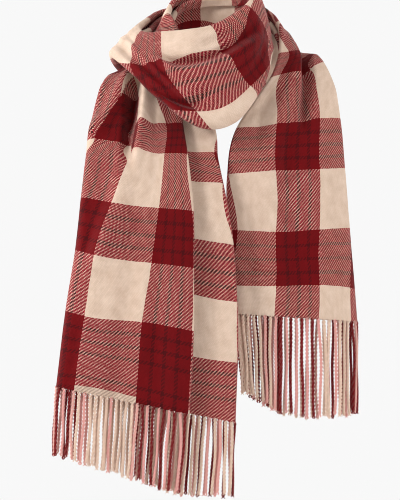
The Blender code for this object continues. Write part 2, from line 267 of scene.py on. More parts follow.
# The pattern pulls askew in the folds. A landmark is where the threads s and "at", the distance along the
# cloth, cross in the front view. "x" and "y" are its place there, in pixels of a view 400 wide and 500
# high, and "layer" is 0 on the outer layer and 1 on the inner one.
Landmark = namedtuple("Landmark", "node layer x y s at")
LANDMARKS = [
    Landmark(node, layer, *row)
    for node, layer, rows in (
        ("left_tail", 0, (
            (187.2, 410.7, 77, 2), (135.2, 398, 153, 2), (75.8, 387, 237, 2), (57.5, 386, 262, 2),
            (191, 330, 77, 114), (141.9, 322.2, 153, 114), (84.4, 314.6, 237, 114), (67.5, 309, 264, 114),
            (192.6, 267.5, 77, 198), (151.1, 262.9, 153, 198), (95.1, 255.2, 237, 198),
            (75.5, 250, 268, 198), (191.4, 210.7, 77, 274), (158.6, 208.6, 153, 274),
            (110.7, 201.4, 237, 274), (83, 197, 284, 274), (187.1, 152.9, 77, 358),
            (164.3, 152.9, 153, 358), (133.6, 146.4, 237, 358), (165, 122.9, 153, 434),
            (152, 120.5, 195, 434), (140.7, 118.6, 237, 434), (129, 94, 275, 434), (135, 117, 237, 402),
            (131, 130, 237, 381), (126, 144, 237, 358), (115, 142, 275, 358), (104, 139.5, 300, 358),
        )),
        ("left_tail", 1, (
            (194.1, 239.2, 501, 274), (232.6, 243.8, 556, 274), (194.8, 296, 495, 198),
            (236.2, 301.3, 556, 198), (194.8, 356.1, 495, 114), (237, 360.7, 556, 114),
            (189.3, 178.6, 505, 358), (220.4, 181.4, 556, 358), (187.5, 148, 505, 434),
            (212.6, 151.4, 556, 434), (197, 417, 497, 24), (235, 421.5, 556, 26),
        )),
        ("throat_loop", 0, (
            (161, 34, 197, 1158), (161, 59, 237, 1158), (167, 77, 262, 1158), (179, 92, 285, 1158),
            (196, 112, 313, 1158), (208, 126, 335, 1158), (209.5, 25.5, 200, 1074), (213, 46, 237, 1074),
            (224.5, 51, 240, 1074), (233, 60, 260, 1074), (242, 74, 287, 1074), (250, 84.5, 313, 1074),
            (257, 95, 330, 1074), (187, 54, 237, 1116), (220, 108, 313, 1128), (235, 100, 313, 1106),
            (245, 92, 313, 1088), (220.5, 80.5, 286, 1102), (198.5, 86, 286, 1130), (212.5, 66, 261, 1102),
            (190.5, 71, 261, 1130), (235, 43, 237, 1058), (240, 33, 237, 1045), (248, 12, 237, 1005),
            (267.5, 33.3, 280, 998), (264, 58, 297, 1004), (138, 34, 182, 1234), (132, 52.5, 222, 1234),
            (133, 67, 240, 1230), (147.5, 63, 237, 1196), (141, 78, 262, 1222), (150.5, 87, 272, 1206),
            (161, 96, 286, 1184), (168, 107, 312, 1196), (182.5, 112.5, 313, 1176),
        )),
        ("right_tail", 0, (
            (292, 42, 252, 1600), (285, 38, 246, 1588), (280, 48, 240, 1618), (278, 55, 215, 1641),
            (280, 71.7, 237, 1714), (288, 73.3, 258, 1714), (304, 78, 300, 1714), (311, 65, 318, 1714),
            (324, 62.5, 338, 1714), (290, 53, 237, 1638), (303, 59, 300, 1642), (276, 62, 196, 1652),
            (276.7, 93.3, 237, 1740), (318.3, 91.7, 313, 1760), (240, 127.5, 161, 1798),
            (274.2, 124.2, 237, 1798), (320, 118, 313, 1798), (339, 117.5, 358, 1798),
            (229, 184, 150, 1887), (275, 170, 237, 1874), (320, 169, 313, 1874), (346, 168, 382, 1874),
            (238, 230, 153, 1958), (275, 232, 237, 1958), (320, 231, 313, 1958), (350, 229, 393, 1958),
            (275, 287, 237, 2034), (320, 286, 313, 2034), (350, 287, 397, 2034), (355, 289, 409, 2034),
            (275, 311, 237, 2074), (320, 313, 313, 2074), (350, 319, 397, 2074), (357, 320, 415, 2074),
        )),
        ("first_turn", 0, (
            (161, 19, 77, 650), (171, 14, 77, 665), (176, 17, 77, 672),
        )),
    )
    for row in rows
]
VIEW = (400, 500)
VIEW_NEAR = 1.3
VIEW_DEPTH = 0.006

# A pin is such a place given on the folded strip itself, where the front view helps less: beside the left
# tail's valley, at the left shoulder, at the nape and behind the left tail.
Pin = namedtuple("Pin", "along share layer s at")
PINS = [
    Pin(*row)
    for row in (
        (478, 0.49, 0, 237, 434),
        (425, 0.50, 0, 214, 392),
        (385, 0.55, 0, 214, 370),
        (1255, 0.97, 0, 232, 1252),
        (1275, 0.98, 0, 232, 1270),
        (1297, 0.99, 0, 232, 1292),
        (1400, 0.05, 0, 167, 1390),
        (1400, 0.95, 0, 272, 1392),
        (1480, 0.05, 0, 172, 1462),
        (1480, 0.95, 0, 298, 1474),
        (1550, 0.05, 0, 192, 1520),
        (1550, 0.95, 0, 305, 1537),
        (345, 0.50, 1, 412, 366),
        (350, 0.90, 1, 340, 362),
        (430, 0.50, 1, 412, 440),
        (430, 0.90, 1, 345, 436),
        (520, 0.50, 1, 405, 522),
        (520, 0.90, 1, 350, 520),
    )
]
PULL = 110.0
SLACK = 0.003

# Two folds of the left tail's upper outer side. The cloth goes down into the valley and comes up again, so
# places either side of it are further apart than they look. Past the ridge lies a pleat, on which the
# pattern starts anew. The ridge is the thread RIDGE_S, through its own landmarks and then the places on the
# strip above them.
VALLEY = ((320, 0.58), (360, 0.553), (400, 0.51), (438, 0.480), (478, 0.455), (600, 0.44))
VALLEY_CLOTH = 80.0
VALLEY_HALF = 2.0
VALLEY_FADE_IN = 50
VALLEY_FADE_OUT = 60
VALLEY_PAST_END = 40
RIDGE_S = 313
RIDGE_LANDMARKS = [
    Landmark("left_tail", 0, x, y, RIDGE_S, at)
    for x, y, at in (
        (94.6, 135, 358),
        (100, 126.5, 374),
        (105, 119, 388),
        (110, 111, 402),
        (115, 103, 417),
        (121, 94, 434),
    )
]
RIDGE_ABOVE = ((520, 0.60), (600, 0.47))

# On the pleat the pattern is "at" at "along", and the thread s lies "offset" across at "middle", leaning by
# "lean". "at_a_step" and "s_a_step" are how fast the two grow with each millimetre.
Pleat = namedtuple("Pleat", "along at at_a_step middle offset lean s s_a_step")
PLEAT = Pleat(363.0, 434.0, 0.4565, 547.0, 92.0, 0.264, 275.0, 1.3)
LEFT_OUTER = 78

# A row is a stretch of the strip. "rows" and "outer" and "inner" are its spans along it and across each
# layer. "turned" is the layer on which the twill's lines lean the other way, because the cloth's other face
# is out.
Stretch = namedtuple("Stretch", "name node start end rows outer inner turned rests_on")
STRETCHES = [
    Stretch(*row)
    for row in (
        ("left_tail_cloth", "left_tail", 0, 594, 190, LEFT_OUTER, 66, 1, ("first_turn_cloth",)),
        ("first_turn_cloth", "first_turn", 594, 960, 110, 44, 34, 0, ()),
        ("throat_loop_cloth", "throat_loop", 960, 1300, 120, 66, 44, 0,
            ("left_tail_cloth", "first_turn_cloth")),
        ("second_turn_cloth", "second_turn", 1300, 1650, 110, 50, 40, 0, ("first_turn_cloth",)),
        ("right_tail_cloth", "right_tail", 1650, CLOTH_LENGTH, 140, 74, 56, 1, ("second_turn_cloth",)),
    )
]
TURNED_SPANS = 12
ROLL_SPANS = 8
UNEVEN = 0.5
WAVES = 26
SHORT_WAVE, LONG_WAVE = 14, 60
TYPICAL_WIDTH = 190
LAYERS_APART = 700
SHARP = 1.1
HEM_SCALLOP = 0.7
HEM_FADE = 6
UP = np.array((0, 0, 1.0))
RIGHT = np.array((1.0, 0, 0))

# The map for baking lies in a square: the outer face on its left half and the inner face on its right half.
# The faces of the rim share small corners there.
BAKE_DOWN = (0.01, 0.99)
BAKE_ACROSS = (0.005, 0.485)
BAKE_SHIFT = 0.505
BAKE_CORNER = 0.002

# The fringe: two plies twisted into each strand. Strands vary by chance, and a strand's plies part and thin
# near its root and its tip.
STRAND_PITCH = 8.0
PLY_RADIUS = 1.5
PLY_OFFSET = 1.15
TWIST = 11.0
RINGS_A_TURN = 7
PLY_SIDES = 5
HEM_STEP = 2
HEM_SPANS = 60
ROOT_LIFT = 1.2
LENGTH_VARIES = 3.5
LEAN_VARIES = 1.3
SWAY_VARIES = 0.8
BOW_VARIES = 1.4
RIPPLE, RIPPLES = 0.5, 9
PART_NEAR = 3
ROOT_PARTS, TIP_PARTS = 1.3, 1.4
ROOT_THINS, TIP_THINS = 0.25, 0.45
TIP_THINS_NEAR = 2.5
PLY_FLATNESS = 0.8
Hang = namedtuple("Hang", "node x lean length")
HANGS = [
    Hang(*row)
    for row in (
        ("left_fringe", -227, -6, 100),
        ("left_fringe", -120, -6, 109),
        ("left_fringe", -40, -9, 119),
        ("left_fringe", 34, -2, 108),
        ("right_fringe", 35, 10, 116),
        ("right_fringe", 93, 0, 140),
        ("right_fringe", 134, 0, 149),
        ("right_fringe", 212, 0, 136),
    )
]


# Curves and folds


def through(knots, values, at):
    """A smooth curve through values at knots: cubic pieces whose slopes are those between the
    neighbours."""
    knots, values = np.asarray(knots, float), np.asarray(values, float)
    step = np.diff(knots)
    secant = np.diff(values) / step
    slope = np.empty(len(values))
    slope[1:-1] = (secant[:-1] * step[1:] + secant[1:] * step[:-1]) / (step[:-1] + step[1:])
    slope[0], slope[-1] = secant[0], secant[-1]
    i = np.clip(np.searchsorted(knots, at) - 1, 0, len(step) - 1)
    h, u = step[i], (at - knots[i]) / step[i]
    inside = (
        (1 + 2 * u) * (1 - u) ** 2 * values[i]
        + u * (1 - u) ** 2 * h * slope[i]
        + u * u * (3 - 2 * u) * values[i + 1]
        + u * u * (u - 1) * h * slope[i + 1]
    )
    before = values[0] + slope[0] * (at - knots[0])
    after = values[-1] + slope[-1] * (at - knots[-1])
    return np.where(at < knots[0], before, np.where(at > knots[-1], after, inside))


def column(rows, name, at):
    """A table's column as a smooth curve of "along"."""
    return through([row.along for row in rows], [getattr(row, name) for row in rows], at)


def point(prefix, at):
    """The place of a section's edge or fold at each "along"."""
    return np.stack([column(SECTIONS, f"{prefix}_{axis}", at) for axis in "xyz"], axis=-1)


def unit(vectors):
    """Each vector over its own length."""
    return vectors / np.linalg.norm(vectors, axis=-1, keepdims=True)


def ease(u):
    """From 0 to 1 as u goes from 0 to 1, level at both ends: three u squared less two u cubed."""
    u = np.clip(u, 0, 1)
    return u * u * (3 - 2 * u)


def fold_height(folds, along, share, width):
    """The sum of rounded ridges and troughs: each is its rise times half of one plus the cosine of the
    distance from its line over its half width, faded in and out over the first and last quarter of its
    line."""
    height = np.zeros(np.broadcast(along, share).shape)
    for fold in folds:
        u = (along - fold.along) / (fold.to_along - fold.along)
        middle = fold.share + (fold.to_share - fold.share) * u
        strength = ease(4 * u) * ease(4 * (1 - u))
        off = np.clip(np.abs(share - middle) * width / fold.half_width, 0, 1)
        height += fold.rise * strength * 0.5 * (1 + np.cos(np.pi * off))
    return height


def unevenness(along, share):
    """The slight waves of soft wool: a sum of sines along both ways, with wavelengths of 14 to 60 mm."""
    chance = np.random.default_rng(11)
    total = np.zeros(np.broadcast(along, share).shape)
    for _ in range(WAVES):
        length = chance.uniform(SHORT_WAVE, LONG_WAVE)
        turn = chance.uniform(0, np.pi)
        phase = chance.uniform(0, 2 * np.pi)
        across = share * TYPICAL_WIDTH * np.cos(turn)
        total += length / LONG_WAVE * np.sin(2 * np.pi * (across + along * np.sin(turn)) / length + phase)
    return total / 3


# The strip's section


def strip_section(width, depth, turn, reach, tuck, outer_spans, inner_spans):
    """The folded section as arrays of (across, out): the turned strip, a half circle at the edge, the outer
    layer, a half circle at the fold, the inner layer, a half circle and the tucked strip. Also says which
    layer each is."""
    r, back = EDGE_RADIUS, depth / 2
    inner_x = -reach + r

    def run(x0, y0, x1, y1, spans):
        u = np.linspace(0, 1, spans + 1)[1:]
        return x0 + (x1 - x0) * u, y0 + (y1 - y0) * u + 0 * x0

    def arc(x, y, radius, start, end, spans):
        angle = np.radians(np.linspace(start, end, spans + 1)[1:])
        return x + radius * np.cos(angle), y + radius * np.sin(angle)

    parts = [
        (r + turn, -2 * r + 0 * turn),
        run(r + turn, -2 * r, r + 0 * turn, -2 * r, TURNED_SPANS),
        arc(r, -r, r, 270, 90, ROLL_SPANS),
        run(r + 0 * width, 0, width - back, 0, outer_spans),
        arc(width - back, -back, back, 90, -90, ROLL_SPANS),
        run(width - back, -depth, inner_x, -depth, inner_spans),
        arc(inner_x, -depth - r, r, 90, 270, ROLL_SPANS),
        run(inner_x, -depth - 2 * r, inner_x + tuck, -depth - 2 * r, TURNED_SPANS),
    ]
    x = np.concatenate([np.broadcast_to(p[0], (len(width), p[0].shape[-1])) for p in parts], axis=1)
    y = np.concatenate([np.broadcast_to(p[1], (len(width), p[1].shape[-1])) for p in parts], axis=1)
    ends = np.cumsum([p[0].shape[-1] for p in parts]) - 1
    return x, y, ends


def strip_grid(along, outer_spans, inner_spans):
    """The cloth's two faces as grids of points, with the section's distance across, its ends and the
    strip's width.

    Each point is the section's edge, plus its distance across along the line to the fold, plus its distance
    out along the strip's normal. The faces lie half a wall either side of the section's middle line."""
    edge, fold = point("edge", along), point("fold", along)
    ahead, behind = along + 1.0, along - 1.0
    middle_step = point("edge", ahead) + point("fold", ahead) - point("edge", behind) - point("fold", behind)
    width = np.linalg.norm(fold - edge, axis=-1)[:, None]
    across = unit(fold - edge)
    out = unit(np.cross(unit(middle_step), across))
    depth, bulge = column(SECTIONS, "depth", along)[:, None], column(SECTIONS, "bulge", along)[:, None]
    reach, turn, tuck = (column(HIDDEN, name, along)[:, None] for name in ("reach", "turn", "tuck"))
    x, y, ends = strip_section(width, depth, turn, reach, tuck, outer_spans, inner_spans)
    lengths = np.concatenate([0 * width, np.cumsum(np.hypot(np.diff(x), np.diff(y)), axis=1)], axis=1)
    share = x / width
    rows = along[:, None]
    layer = ease(np.clip((np.arange(x.shape[1]) - ends[3]) / ROLL_SPANS, 0, 1))
    inside = np.clip(share, 0, 1)
    y = y + bulge * 4 * inside * (1 - inside) + fold_height(FOLDS, rows, share, width)
    for side, weight in ((0, 1 - layer), (1, layer)):
        y = y + weight * fold_height([c for c in CREASES if c.layer == side], rows, share, width)
        y = y + weight * UNEVEN * unevenness(rows + LAYERS_APART * side, share)
    step = unit(np.stack([np.gradient(x, axis=1), np.gradient(y, axis=1)], axis=-1))
    faces = []
    for side in (0.5, -0.5):
        fx, fy = x - side * WALL * step[..., 1], y + side * WALL * step[..., 0]
        faces.append(edge[:, None] + across[:, None] * fx[..., None] + out[:, None] * fy[..., None])
    return faces[0], faces[1], x, ends, width, lengths


def cloth_grid(along, outer_spans, inner_spans):
    """The cloth's two faces, with s and the distance along the cloth at each point."""
    outer, inner, _, ends, width, lengths = strip_grid(along, outer_spans, inner_spans)
    return outer, inner, *stripes(along, lengths, ends, width)


def pull(distance):
    """How much a pin still pulls at a distance: one plus the distance over the reach, times its falling
    exponential."""
    return (1 + distance / PULL) * np.exp(-distance / PULL)


def unfolded(along, across, width):
    """The distance across as it counts between pins: past the valley's line, the cloth hidden in it is
    added."""
    line = width * np.interp(along, *np.transpose(VALLEY))
    start, end = VALLEY[0][0], VALLEY[-1][0] + VALLEY_PAST_END
    there = ease((along - start) / VALLEY_FADE_IN) * ease((end - along) / VALLEY_FADE_OUT)
    return across + VALLEY_CLOTH * there * ease((across - line) / (2 * VALLEY_HALF) + 0.5)


def in_view(stretch):
    """A stretch's points as the front view shows them: pixels across and down, which are the distance from
    the view's middle times the lens's scale, then the distance from the camera, and the place of each on
    the strip."""
    along = np.linspace(stretch.start, stretch.end, stretch.rows + 1)
    outer, inner, x, _, width, _ = strip_grid(along, stretch.outer, stretch.inner)
    points = np.concatenate([outer.reshape(-1, 3), inner.reshape(-1, 3)]) * MM
    away = points[:, 1] - PICTURE_MIDDLE.y + CAMERA_AWAY
    scale = VIEW[1] / PICTURE_HEIGHT * CAMERA_AWAY / away
    right = VIEW[0] / 2 + (points[:, 0] - PICTURE_MIDDLE.x) * scale
    down = VIEW[1] / 2 - (points[:, 2] - PICTURE_MIDDLE.z) * scale
    along_at = np.broadcast_to(along[:, None], x.shape)
    return right, down, away, np.tile(along_at.ravel(), 2), np.tile((x / width).ravel(), 2)


def found(mark):
    """A landmark's place on the strip, to the millimetre and the thousandth of the width: the nearest to it
    of the front points that are close to it. Where none is close, as at an outline, the nearest of all is
    taken, to the hundredth of the width."""
    right, down, away, along, share = VIEWS[mark.node]
    off = np.hypot(right - mark.x, down - mark.y)
    near, digits = np.flatnonzero(off < VIEW_NEAR), 3
    if len(near) == 0:
        near, digits = np.array([off.argmin()]), 2
    front = near[away[near] < away[near].min() + VIEW_DEPTH]
    best = front[off[front].argmin()]
    return round(along[best]), round(float(share[best]), digits)


VIEWS = {stretch.node: in_view(stretch) for stretch in STRETCHES}
RIDGE = [found(mark) for mark in RIDGE_LANDMARKS] + [*RIDGE_ABOVE]


def pinned():
    """Every pin's place as (along, distance across the folded strip), and the weights whose pulls add up to
    what each needs beyond the plain layout. A landmark's place is taken to the hundredth of the width."""
    seen = [
        Pin(along, round(share, 2), mark.layer, mark.s, mark.at)
        for mark in LANDMARKS + RIDGE_LANDMARKS
        for along, share in (found(mark),)
    ]
    pins = seen + PINS
    along = np.array([pin.along for pin in pins], float)
    share = np.array([pin.share for pin in pins])
    width = np.linalg.norm(point("fold", along) - point("edge", along), axis=-1)
    back = column(SECTIONS, "depth", along) / 2
    behind = (width - back) + np.pi * back + (width - back - share * width)
    across = np.where([pin.layer == 1 for pin in pins], behind, share * width)
    places = np.stack([along, unfolded(along, across, width)], axis=1)
    plain_s = through([row.along for row in STARTS], [row.edge_at for row in STARTS], along) + across
    wanted = np.stack([[pin.s for pin in pins] - plain_s, [pin.at for pin in pins] - along], axis=1)
    apart = np.linalg.norm(places[:, None] - places[None], axis=-1)
    return places, np.linalg.solve(pull(apart) + SLACK * np.eye(len(pins)), wanted)


PLACES, WEIGHTS = pinned()


def stripes(along, lengths, ends, width):
    """s and the distance along the cloth at each point: the plain layout plus the pull of every pin."""
    across = lengths - lengths[:, ends[2] : ends[2] + 1] + EDGE_RADIUS
    s = through([row.along for row in STARTS], [row.edge_at for row in STARTS], along)[:, None] + across
    at = np.broadcast_to(along[:, None], across.shape).copy()
    apart = unfolded(along[:, None], across, width)
    for place, weight in zip(PLACES, WEIGHTS):
        force = pull(np.hypot(along[:, None] - place[0], apart - place[1]))
        s, at = s + weight[0] * force, at + weight[1] * force
    return s, at


# Meshes


def mesh_object(name, points, quads, material, maps):
    """A piece from its points and its four-sided faces, with its maps."""
    mesh = bpy.data.meshes.new(name)
    mesh.vertices.add(len(points))
    mesh.vertices.foreach_set("co", (points * MM).astype(np.float32).ravel())
    mesh.loops.add(quads.size)
    mesh.loops.foreach_set("vertex_index", quads.astype(np.int32).ravel())
    mesh.polygons.add(len(quads))
    mesh.polygons.foreach_set("loop_start", np.arange(0, quads.size, 4, dtype=np.int32))
    mesh.update(calc_edges=True)
    mesh.validate()
    for label, values in maps:
        layer = mesh.uv_layers.new(name=label, do_init=False)
        layer.uv.foreach_set("vector", values.astype(np.float32).ravel())
    mesh.shade_smooth()
    mesh.set_sharp_from_angle(angle=SHARP)
    mesh.materials.append(material)
    made = bpy.data.objects.new(name, mesh)
    bpy.context.scene.collection.objects.link(made)
    return made


def grid_quads(rows, columns, start=0, turned=False):
    """The faces of a grid of points, rows by columns, numbered from start."""
    i, j = np.meshgrid(np.arange(rows - 1), np.arange(columns - 1), indexing="ij")
    a = (start + i * columns + j).ravel()
    quads = np.stack([a, a + columns, a + columns + 1, a + 1], axis=1)
    return quads[:, ::-1] if turned else quads


def pleated(on_cloth, quads, along, columns):
    """Lays the pattern of the pleat past the ridge: both ways it is a straight line of the place on the
    strip."""
    along_at = along[quads % (len(along) * columns) // columns]
    column_at = quads % columns
    width = np.linalg.norm(point("fold", along_at) - point("edge", along_at), axis=-1)
    first, fold = TURNED_SPANS + ROLL_SPANS, LEFT_OUTER
    back = column(SECTIONS, "depth", along_at) / 2
    share = (EDGE_RADIUS + (width - back - EDGE_RADIUS) * (column_at - first) / fold) / width
    ridge = np.interp(along_at, *np.transpose(RIDGE))
    past = (share.mean(axis=1) > ridge.mean(axis=1)) & (along_at.min(axis=1) >= RIDGE[0][0])
    past &= column_at.max(axis=1) <= first + fold + ROLL_SPANS
    at = PLEAT.at + PLEAT.at_a_step * (along_at - PLEAT.along)
    s = PLEAT.s + PLEAT.s_a_step * (share * width - PLEAT.offset - PLEAT.lean * (PLEAT.middle - along_at))
    on_cloth[: len(quads)][past] = np.stack([s, at], axis=-1)[past]


def cloth_piece(stretch, material):
    """One stretch of the cloth as a closed shell: the outer face, the inner face and a rim that joins
    them."""
    along = np.linspace(stretch.start, stretch.end, stretch.rows + 1)
    outer, inner, s, rows_at = cloth_grid(along, stretch.outer, stretch.inner)
    rows, columns = s.shape
    for hem in (0, CLOTH_LENGTH):
        if hem in (stretch.start, stretch.end):
            near = np.clip(1 - np.abs(along - hem) / HEM_FADE, 0, 1)[:, None, None]
            wave = np.cos(2 * np.pi * s / STRAND_PITCH)[..., None]
            drop = HEM_SCALLOP * near * wave * UP
            outer, inner = outer + drop, inner + drop
    count = rows * columns
    top, right = np.arange(columns), np.arange(rows) * columns + columns - 1
    left, bottom = np.arange(rows) * columns, (rows - 1) * columns + np.arange(columns)
    rim = np.concatenate([top[:-1], right[:-1], bottom[:0:-1], left[:0:-1]])
    after = np.roll(rim, -1)
    rim_quads = np.stack([after, rim, rim + count, after + count], axis=1)
    quads = np.concatenate([grid_quads(rows, columns, 0, True), grid_quads(rows, columns, count), rim_quads])
    points = np.concatenate([outer.reshape(-1, 3), inner.reshape(-1, 3)])
    flat = np.stack([s, rows_at], axis=-1).reshape(-1, 2)
    on_cloth = np.concatenate([flat, flat])[quads]
    mid_fold = columns - 1 - TURNED_SPANS - ROLL_SPANS - stretch.inner - ROLL_SPANS // 2
    past_fold = (quads % columns).max(axis=1) > mid_fold
    if stretch.node == "left_tail":
        pleated(on_cloth, quads[: len(quads) - len(rim_quads)], along, columns)
    turned = past_fold == bool(stretch.turned)
    on_cloth[turned, :, 0] = MIRROR - on_cloth[turned, :, 0]
    on_cloth = on_cloth.reshape(-1, 2) * MM
    place = np.meshgrid(np.linspace(*BAKE_DOWN, rows), np.linspace(*BAKE_ACROSS, columns), indexing="ij")
    place = np.stack(place, axis=-1)[..., ::-1].reshape(-1, 2)
    own = np.concatenate([place, place + (BAKE_SHIFT, 0)])[quads]
    corner = BAKE_CORNER * np.array([[0, 0], [1, 0], [1, 1], [0, 1]])
    own[-len(rim_quads):] = own[-len(rim_quads):, :1] + corner
    maps = (("cloth", on_cloth), ("OFBake", own.reshape(-1, 2)))
    made = mesh_object(stretch.name, points, quads, material, maps)
    middle = (outer + inner) / 2 * MM
    a, b, c, d = middle[:-1, :-1], middle[1:, :-1], middle[1:, 1:], middle[:-1, 1:]
    area = (np.linalg.norm(np.cross(c - a, d - b), axis=-1) / 2).sum()
    widest = np.linalg.norm(np.diff(middle, axis=1), axis=-1).sum(axis=1).max()
    return made, widest, area


# The fringe


def strands(node, name, hem, material):
    """A row of strands along a hem. Each is two plies wound round a hanging middle line: a ply's centre is
    the line plus its offset times the cosine and sine of the twist, and it is a ring of sides carried down
    that path. A ply's tone goes from 0, cream, through 0.5, pink, to 1, red."""
    outer, inner, s, _ = cloth_grid(np.array([hem, hem + 1.0]), HEM_SPANS, HEM_SPANS)
    line = (outer[0] + inner[0]) / 2
    lengths = np.concatenate([[0], np.cumsum(np.linalg.norm(np.diff(line, axis=0), axis=1))])
    count = int(lengths[-1] // STRAND_PITCH)
    marks = (np.arange(count) + 0.5) * lengths[-1] / count
    before, roots, after = (
        np.stack([np.interp(at, lengths, line[:, k]) for k in range(3)], axis=-1)
        for at in (marks - HEM_STEP, marks, marks + HEM_STEP)
    )
    root_s = np.interp(marks, lengths, s[0])
    side = unit((after - before) * (1, 1, 0))
    face = np.stack([side[:, 1], -side[:, 0], 0 * side[:, 0]], axis=-1)
    rows = [hang for hang in HANGS if hang.node == node]
    chance = np.random.default_rng(5 + count)
    xs = [row.x for row in rows]
    long = np.interp(roots[:, 0], xs, [row.length for row in rows])
    long = long + chance.uniform(-LENGTH_VARIES, LENGTH_VARIES, count)
    lean = np.interp(roots[:, 0], xs, [row.lean for row in rows]) + chance.normal(0, LEAN_VARIES, count)
    sway, bow = chance.normal(0, SWAY_VARIES, count), chance.normal(0, BOW_VARIES, count)
    rings = int(np.ceil(long.max() / TWIST * RINGS_A_TURN))
    u = np.linspace(0, 1, rings + 1)
    down = u[None, :, None] * long[:, None, None] * np.array((0, 0, -1.0))
    order = np.arange(count)
    ripple = RIPPLE * np.sin(u * RIPPLES + order[:, None])
    sideways = lean[:, None] * u + bow[:, None] * np.sin(np.pi * u) + ripple
    swayed = (sway[:, None] * u)[..., None] * face[:, None]
    middle = roots[:, None] + down + sideways[..., None] * RIGHT + swayed
    middle[..., 2] += ROOT_LIFT
    depth_at = u * long[:, None]
    angle = 2 * np.pi * depth_at / TWIST + chance.uniform(0, 2 * np.pi, count)[:, None]
    from_tip = long[:, None] - depth_at
    at_root, at_tip = np.exp(-depth_at / PART_NEAR), np.exp(-from_tip / PART_NEAR)
    spread = PLY_OFFSET + ROOT_PARTS * at_root + TIP_PARTS * at_tip
    thinned = 1 - TIP_THINS * np.exp(-from_tip / TIP_THINS_NEAR)
    girth = PLY_RADIUS * (1 - ROOT_THINS * at_root) * thinned
    around = 2 * np.pi * np.arange(PLY_SIDES) / PLY_SIDES
    points, tone, shade = [], [], []
    red = ((root_s - FIRST_RED_WARP) % REPEAT < RED_BAND) | (root_s < FIRST_RED_WARP - CREAM_BAND)
    odd = chance.uniform(0, 1, count)
    shape = (count, rings + 1, PLY_SIDES)
    for ply in (0, 1):
        turn = angle + np.pi * ply
        out = np.sin(turn)[..., None] * face[:, None] * PLY_FLATNESS
        wound = np.cos(turn)[..., None] * side[:, None] + out
        centre = middle + spread[..., None] * wound
        ring = np.cos(around)[:, None] * side[:, None, None] + np.sin(around)[:, None] * face[:, None, None]
        points.append(centre[:, :, None] + girth[..., None, None] * ring)
        if ply == 0:
            in_red = np.where(order % 2 == 0, 1.0, np.where(odd < 0.7, 0.5, 0.3))
            in_cream = np.where(odd < 0.16, 0.4, 0.06)
        else:
            in_red = np.where(order % 2 == 0, 0.95, 0.45)
            in_cream = np.where(odd > 0.9, 0.6, np.where(odd < 0.16, 0.5, 0.0))
        tone.append(np.broadcast_to(np.where(red, in_red, in_cream)[:, None, None], shape))
        shade.append(np.broadcast_to(chance.uniform(-1, 1, count)[:, None, None], shape))
    points, tone, shade = np.stack(points), np.stack(tone), np.stack(shade)
    per = (rings + 1) * PLY_SIDES
    i, j = np.meshgrid(np.arange(rings), np.arange(PLY_SIDES), indexing="ij")
    a, b = i * PLY_SIDES + j, i * PLY_SIDES + (j + 1) % PLY_SIDES
    tube = np.stack([a, a + PLY_SIDES, b + PLY_SIDES, b], axis=-1).reshape(-1, 4)
    starts = np.arange(2 * count) * per
    quads = (starts[:, None, None] + tube).reshape(-1, 4)
    flat_points = points.reshape(-1, 3)
    tips = len(flat_points) + np.arange(4 * count)
    ends = np.stack([points[:, :, 0].mean(axis=2), points[:, :, -1].mean(axis=2)], axis=2).reshape(-1, 3)
    caps = []
    for end, first in ((0, 0), (1, rings * PLY_SIDES)):
        for k in range(PLY_SIDES):
            p, q = starts + first + k, starts + first + (k + 1) % PLY_SIDES
            apex = tips[end::2]
            caps.append(np.stack([apex, p, q], axis=1) if end == 0 else np.stack([apex, q, p], axis=1))
    caps = np.concatenate(caps)
    all_points = np.concatenate([flat_points, ends])
    tone_all = np.concatenate([tone.reshape(-1), np.repeat(tone[:, :, 0, 0].reshape(-1), 2)])
    shade_all = np.concatenate([shade.reshape(-1), np.repeat(shade[:, :, 0, 0].reshape(-1), 2)])
    return strand_mesh(name, all_points, quads, caps, material, tone_all, shade_all, rings, count)


def strand_mesh(name, points, quads, caps, material, tone, shade, rings, count):
    """The strands' mesh, with each ply's tone and shade and a map of how far round and down it a point
    is."""
    mesh = bpy.data.meshes.new(name)
    mesh.from_pydata((points * MM).tolist(), [], quads.tolist() + caps.tolist())
    down = np.tile(np.repeat(np.linspace(0, 1, rings + 1), PLY_SIDES), 2 * count)
    down = np.concatenate([down, np.tile([0.0, 1.0], 2 * count)])
    plies = np.arange(2 * count)
    which = np.concatenate([np.repeat(plies, (rings + 1) * PLY_SIDES), np.repeat(plies, 2)])
    for label, values in (("tone", tone), ("shade", shade)):
        mesh.attributes.new(label, "FLOAT", "POINT").data.foreach_set("value", values.astype(np.float32))
    side = np.tile(np.arange(PLY_SIDES), 2 * count * (rings + 1))
    corner = np.zeros(len(mesh.loops), np.int32)
    mesh.loops.foreach_get("vertex_index", corner)
    around = np.concatenate([side, np.zeros(4 * count)])[corner]
    on_quads = around[: quads.size].reshape(-1, 4)
    on_quads[:, 2:] = np.where(on_quads[:, 2:] < on_quads[:, :2][:, ::-1], PLY_SIDES, on_quads[:, 2:])
    around[: quads.size] = on_quads.ravel()
    across = (which[corner] + 0.1 + 0.8 * around / PLY_SIDES) / (2 * count)
    own = np.stack([across, 0.01 + 0.98 * down[corner]], axis=1)
    mesh.uv_layers.new(name="OFBake", do_init=False).uv.foreach_set("vector", own.astype(np.float32).ravel())
    mesh.shade_smooth()
    mesh.materials.append(material)
    made = bpy.data.objects.new(name, mesh)
    bpy.context.scene.collection.objects.link(made)
    return made


# Materials


